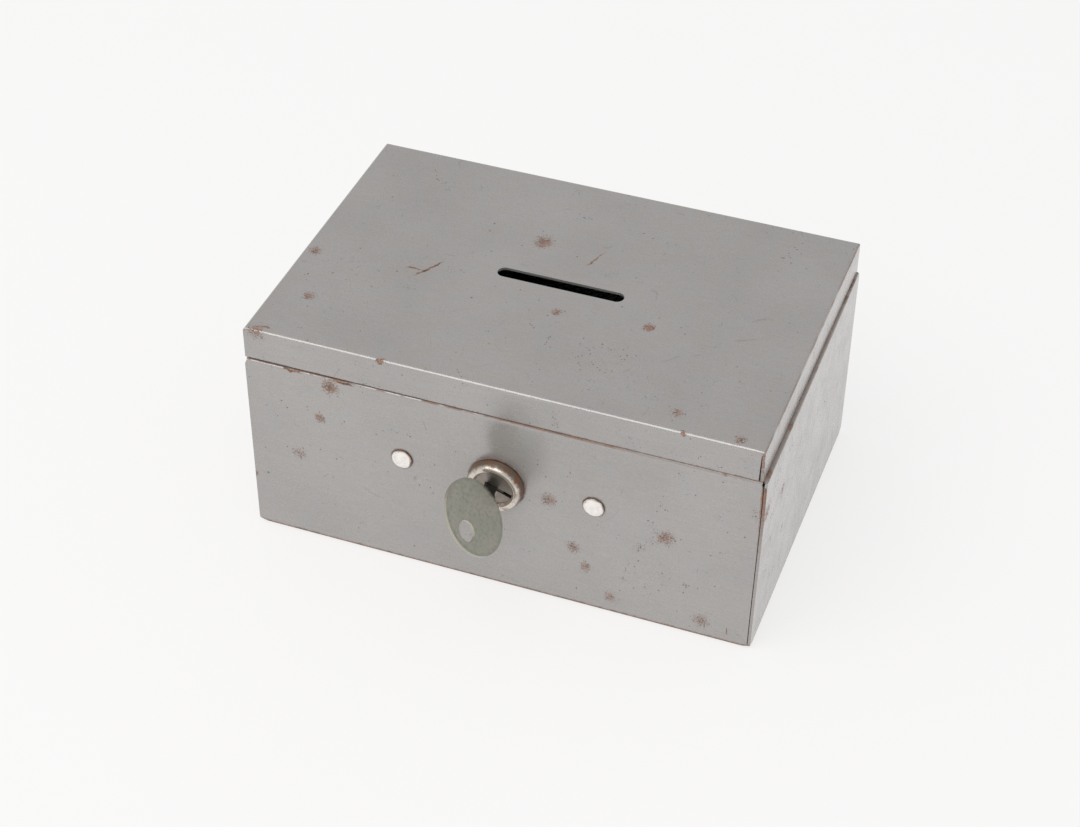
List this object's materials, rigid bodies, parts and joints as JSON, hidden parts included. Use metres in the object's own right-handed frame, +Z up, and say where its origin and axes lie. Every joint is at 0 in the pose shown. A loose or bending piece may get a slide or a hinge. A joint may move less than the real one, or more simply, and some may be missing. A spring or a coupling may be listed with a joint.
{
  "type": "tin money box",
  "caption": "Oblong sheet-steel money box with a hinged lid, a coin slot in the lid and a round key lock in the front wall.",
  "frame": {"origin": "middle of the resting face under the body", "axes": "+X to the right along the front, +Z up, front wall and lock towards -Y, hinge at +Y"},
  "size_m": [0.1518, 0.1333, 0.0716],
  "materials": {
    "body_enamel": "semi-gloss grey enamel, worn",
    "lid_enamel": "semi-gloss grey enamel, worn",
    "hinge_enamel": "semi-gloss grey enamel",
    "bezel_nickel": "worn nickel with brown tarnish",
    "rivet_nickel": "worn nickel",
    "plug_metal": "dull tarnished",
    "key_steel": "grey-green patina, worn edges",
    "zinc_steel": "dull zinc plate",
    "brass": "satin",
    "spring_steel": "satin"
  },
  "bodies": {
    "case": {"body_tray": "body_enamel", "hinge_leaf_body": "hinge_enamel", "hinge_pin": "zinc_steel", "hinge_rivets_body": "zinc_steel", "lock_plate": "zinc_steel", "lock_rivets": "rivet_nickel", "lock_housing": "bezel_nickel", "lock_nut": "zinc_steel"},
    "lid": {"lid_shell": "lid_enamel", "lid_catch": "zinc_steel", "hinge_leaf_lid": "hinge_enamel", "hinge_rivets_lid": "zinc_steel"},
    "plug": {"lock_plug": "plug_metal", "wafer_springs": "spring_steel", "lock_cam": "zinc_steel", "cam_washer": "zinc_steel", "cam_screw": "zinc_steel"},
    "key": {"key": "key_steel"},
    "wafer_1": {"wafer_1": "brass"},
    "wafer_2": {"wafer_2": "brass"},
    "wafer_3": {"wafer_3": "brass"},
    "wafer_4": {"wafer_4": "brass"}
  },
  "joints": [
    {"name": "lid_hinge", "type": "hinge", "parent": "case", "child": "lid", "pos_m": [0, 0.0527, 0.0615], "axis": [-1, 0, 0], "range_deg": [0, 110]},
    {"name": "plug_turn", "type": "hinge", "parent": "case", "child": "plug", "pos_m": [0, -0.0505, 0.0385], "axis": [0, 1, 0], "range_deg": [0, 90]},
    {"name": "key_slide", "type": "slide", "parent": "plug", "child": "key", "axis": [0, -1, 0], "range_m": [0, 0.022], "deforming": ["wafer_springs"]},
    {"name": "wafer_1_slide", "type": "slide", "parent": "plug", "child": "wafer_1", "axis": [-0.9397, 0, 0.342], "range_m": [0, 0.0006]},
    {"name": "wafer_2_slide", "type": "slide", "parent": "plug", "child": "wafer_2", "axis": [0.9397, 0, -0.342], "range_m": [0, 0.0006]},
    {"name": "wafer_3_slide", "type": "slide", "parent": "plug", "child": "wafer_3", "axis": [-0.9397, 0, 0.342], "range_m": [0, 0.0006]},
    {"name": "wafer_4_slide", "type": "slide", "parent": "plug", "child": "wafer_4", "axis": [0.9397, 0, -0.342], "range_m": [0, 0.0006]}
  ],
  "couplings": [
    {"joint": "wafer_1_slide", "follows": "key_slide", "ratio": 0.027272},
    {"joint": "wafer_2_slide", "follows": "key_slide", "ratio": 0.027272},
    {"joint": "wafer_3_slide", "follows": "key_slide", "ratio": 0.027272},
    {"joint": "wafer_4_slide", "follows": "key_slide", "ratio": 0.027272}
  ]
}
